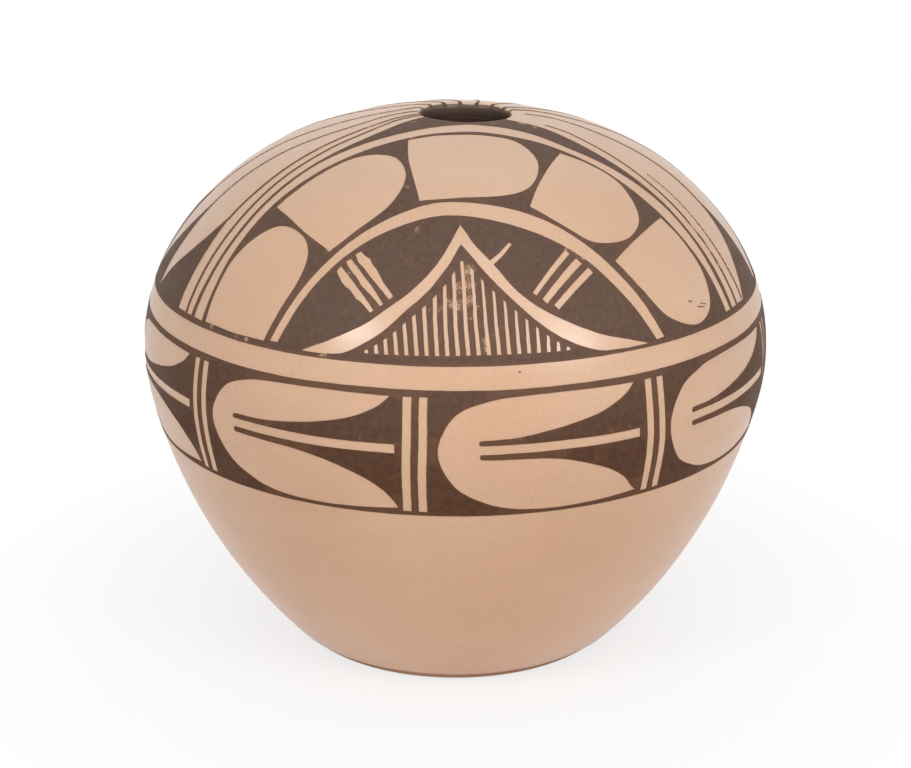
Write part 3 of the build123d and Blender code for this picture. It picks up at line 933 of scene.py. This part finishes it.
wall = add(paint_tree, "GeometryNodeObjectInfo", {"Object": given["Outline"]})["Geometry"]
looked_up = add(paint_tree, "GeometryNodeSampleCurve", {
    "Curves": wall, "Length": maths("SUBTRACT", place["Y"], given["Outline start"])}, mode="LENGTH")
normal = vector_maths("CROSS_PRODUCT", looked_up["Tangent"], (-1, 0, 0))
bent = add(paint_tree, "ShaderNodeVectorRotate", {
    "Vector": vector_maths("ADD", looked_up["Position"], scaled(normal, place["Z"])), "Angle": turn},
    rotation_type="Z_AXIS")[0]
by_hand = add(paint_tree, "GeometryNodeGroup", {"Place": bent}, node_tree=hand_shape)[0]
wrapped = set_position(merged(both, FILM_MERGE), Position=by_hand)
fill(result, {"Film": finished(wrapped, given["Material"])})

# %% [markdown]
# ## Where the repeats go
# The painter spaced by eye, so no two leaves are alike. Each pair of bars has its azimuth and its
# lean, and each leaf has the place where its midrib starts, as the front shows them, and guessed
# ones behind. The petals at both ends of their row have their own widths too. Behind the jar they
# are equal, and a rule draws their lines, which bend aside close to the mouth, because the arch
# takes up the room before it.

# %% Lay the stencils
LINE_SPACING, SHARP_ANGLE = (0.3, 0.1), math.radians(50)
outline_points = np.vstack([lining[:1], wall_line(0, *LINE_SPACING)[::-1]])
LIP_START = CROWN_CURVE * (MOUTH_ANGLE - LIP_ANGLE) - LIP_ROUND * (math.pi - LIP_ANGLE)
OUTLINE_START = LIP_START - (LIP_CENTRE[1] - LINING_END)
line = bpy.data.curves.new("wall_outline", "CURVE")
line.dimensions = "3D"
spline = line.splines.new("POLY")
spline.points.add(len(outline_points) - 1)
for point, (r, z) in zip(spline.points, outline_points):
    point.co = (0, -r * MM, z * MM, 1)
wall_outline = placed("wall_outline", line)

BAR_PAIRS = [(-167.0, 0.0), (-127.7, -0.3), (-88.5, 0.2), (-49.2, -0.1), (-6.5, -0.3), (35.1, 0.95),
             (75.3, 0.2), (114.5, -0.4), (153.8, 0.3)]
RIB_STARTS = [-0.4, 0.5, 0.0, -1.3, 0.4, -0.9, 0.3, -0.6, 0.2]
FULL_TURN = 359.999  # a hair short, so that both ends of a film stay closed
RIGHT_PETALS, LEFT_PETALS = [(66.2, 14.6), (80.8, 23.2)], [(272.4, 11.9), (283.0, 16.0)]
BACK_START, BACK_END, BACK_PETALS = 104.0, 272.4, 7
GATHER, CROWN_TOP = 0.125, -1
LEAF_SEED, ARCH_SEED, PETAL_SEED, MOUTH_SEED = 0.31, 0.77, 0.53, 0.11


def repeats(cells, drawn_width):
    """A row of points on the unrolled sheet, from cells: start, width, and what the painter moved."""
    cells = np.array([(*cell, 0, 0, 0)[:5] for cell in cells], float)
    per_degree = math.radians(1) * UNROLL * MM
    mesh = bpy.data.meshes.new("repeats")
    mesh.from_pydata([(start * per_degree, 0, 0) for start in cells[:, 0]], [], [])
    store(mesh, "stretch", cells[:, 1] / drawn_width)
    for name, column in zip(("start", "width", "lean", "next_lean", "rib"), cells.T):
        store(mesh, name, column * per_degree)
    return placed("repeats", mesh)


def painted(name, where, drawn_width, drawing, seed, first, top, low, gather=0.0, finish="dark_paint"):
    """Lays a finished film of paint on the jar."""
    film = placed(name, grown(repeats(where, drawn_width), paint_tree, {
        "Stencil": drawing, "Outline": wall_outline, "Outline start": OUTLINE_START * MM, "Seed": seed,
        "First azimuth": math.radians(first), "Top": top * MM, "Reach": (low - top) * MM, "Gather": gather,
        "Material": paint_finishes[finish]}))
    film.data.set_sharp_from_angle(angle=SHARP_ANGLE)
    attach(film, "root")
    print(f"{name}: {len(film.data.polygons)} faces")


next_pairs = BAR_PAIRS[1:] + [(BAR_PAIRS[0][0] + FULL_TURN, BAR_PAIRS[0][1])]
leaf_cells = [(start, end - start, lean, next_lean, rib) for (start, lean), (end, next_lean), rib in zip(
    BAR_PAIRS, next_pairs, RIB_STARTS)]
painted("leaf_band_paint", leaf_cells, LEAF_WIDTH, leaf_stencil, LEAF_SEED, BAR_PAIRS[0][0],
        BORDER_TOP - 1, BAND_LOW + 1)
painted("arch_paint", [(0, 1)], 1, arch_stencil, ARCH_SEED, -180, CROWN_TOP, BORDER_LOW)
back_width = (BACK_END - BACK_START) / BACK_PETALS
back_petals = [(BACK_START + i * back_width, back_width) for i in range(BACK_PETALS)]
petal_cells = [*RIGHT_PETALS, *back_petals, *LEFT_PETALS]
painted("petal_paint", petal_cells, PETAL_WIDTH, petal_stencil, PETAL_SEED, petal_cells[0][0],
        CROWN_TOP, BORDER_LOW)
back_lines = [(start + PETAL_APEX * width, 1) for start, width in back_petals[:-1]]
painted("petal_line_paint", back_lines, 1, line_stencil, PETAL_SEED, BACK_START, CROWN_TOP,
        BORDER_LOW, GATHER)
# The mouth's lining, in paint that is darker as painted shade and paler at the lip as painted light
painted("mouth_paint", [(0, FULL_TURN)], 360, mouth_stencil, MOUTH_SEED, 0, LINING_WAY - 1, 1,
        finish="smoked_paint")
for drawing in (arch_stencil, petal_stencil, line_stencil, leaf_stencil, mouth_stencil, wall_outline):
    bpy.data.objects.remove(drawing)

# %% [markdown]
# ## Light, floor and camera
# A large soft lamp high in front gives most of the light. Two small ones at the sides, a little
# above the jar, give the pair of sheens on the hill's feet. A broad one behind lights the back. It
# gives no gloss, because that would whiten the crown. A pale surround fills the shadows. The floor
# is pale, and turns to plain white away from the jar. The camera has the photograph's height and
# distance.

# %% Studio
CAMERA_PLACE, CAMERA_TARGET, LENS = Vector((0, -0.5661, 0.2720)), Vector((0, 0, 0.0716)), 81.2
SENSOR, NEAREST = 36.0, 0.01
# Azimuth and height in degrees, size in metres, power in watts
LAMPS = {
    "lamp_front": (8, 54, 1.0, 4.6), "lamp_left": (-40.6, 36.1, 0.2, 3.0),
    "lamp_right": (44.3, 30.7, 0.33, 3.3), "lamp_back": (180, 26, 1.0, 3.0)}
LAMP_DISTANCE, LAMP_TARGET = 1.1, Vector((0, 0, 0.08))
AMBIENT, WHITE = 0.18, (1, 1, 1, 1)
FLOOR_REACH, FLOOR_SEEN, FLOOR_BOUNCE = 4.0, (0.9, 0.9, 0.9, 1), (0.93, 0.82, 0.72, 1)
FLOOR_FADE, FLOOR_ROUGHNESS, FLOOR_SPECULAR = (0.05, 0.16, 0.75, 1.0), 0.9, 0.1

scene = bpy.context.scene
scene.view_settings.view_transform = "Standard"
camera = placed("camera", bpy.data.cameras.new("camera"))
camera.location = CAMERA_PLACE
camera.rotation_euler = (CAMERA_TARGET - CAMERA_PLACE).to_track_quat("-Z", "Y").to_euler()
camera.data.lens, camera.data.sensor_width, camera.data.clip_start = LENS, SENSOR, NEAREST
scene.camera = camera

for name, (turn, rise, size, power) in LAMPS.items():
    lamp = placed(name, bpy.data.lights.new(name, "AREA"))
    lamp.data.size, lamp.data.energy = size, power
    turn, rise = math.radians(turn), math.radians(rise)
    away = Vector((math.sin(turn) * math.cos(rise), -math.cos(turn) * math.cos(rise), math.sin(rise)))
    lamp.location = LAMP_TARGET + away * LAMP_DISTANCE
    lamp.rotation_euler = (-away).to_track_quat("-Z", "Y").to_euler()
    lamp.visible_glossy = name != "lamp_back"


def seen_directly(tree):
    """1 for what the camera sees, directly or in a gloss or glass, and 0 for light on the jar."""
    path = tree.nodes.new("ShaderNodeLightPath").outputs
    glossy = maths("MAXIMUM", path["Is Glossy Ray"], path["Is Transmission Ray"])
    return maths("MAXIMUM", path["Is Camera Ray"], glossy)


world = bpy.data.worlds.new("surround")
world.use_nodes = True
scene.world = world
fill(world.node_tree.nodes["Background"], {
    "Color": WHITE, "Strength": spread(seen_directly(world.node_tree), 0, 1, AMBIENT, 1.0)})

floor_corners = [(x * FLOOR_REACH, y * FLOOR_REACH, 0) for x, y in ((-1, -1), (1, -1), (1, 1), (-1, 1))]
floor_mesh = bpy.data.meshes.new("floor")
floor_mesh.from_pydata(floor_corners, [], [(0, 1, 2, 3)])
floor = placed("floor", floor_mesh)
floor_finish, shader, place = material("pale_floor")
tree = floor_finish.node_tree
fill(shader, {
    "Base Color": mixed(seen_directly(tree), FLOOR_BOUNCE, FLOOR_SEEN),
    "Roughness": FLOOR_ROUGHNESS, "Specular IOR Level": FLOOR_SPECULAR})
distance = add(tree, "ShaderNodeVectorMath", {0: place}, operation="LENGTH")["Value"]
share = maths("MULTIPLY", spread(distance, *FLOOR_FADE), seen_directly(tree))
white = add(tree, "ShaderNodeEmission", {"Color": WHITE})[0]
blend = add(tree, "ShaderNodeMixShader", {0: share, 1: shader.outputs[0], 2: white})[0]
tree.links.new(blend, tree.nodes["Material Output"].inputs["Surface"])
floor_mesh.materials.append(floor_finish)
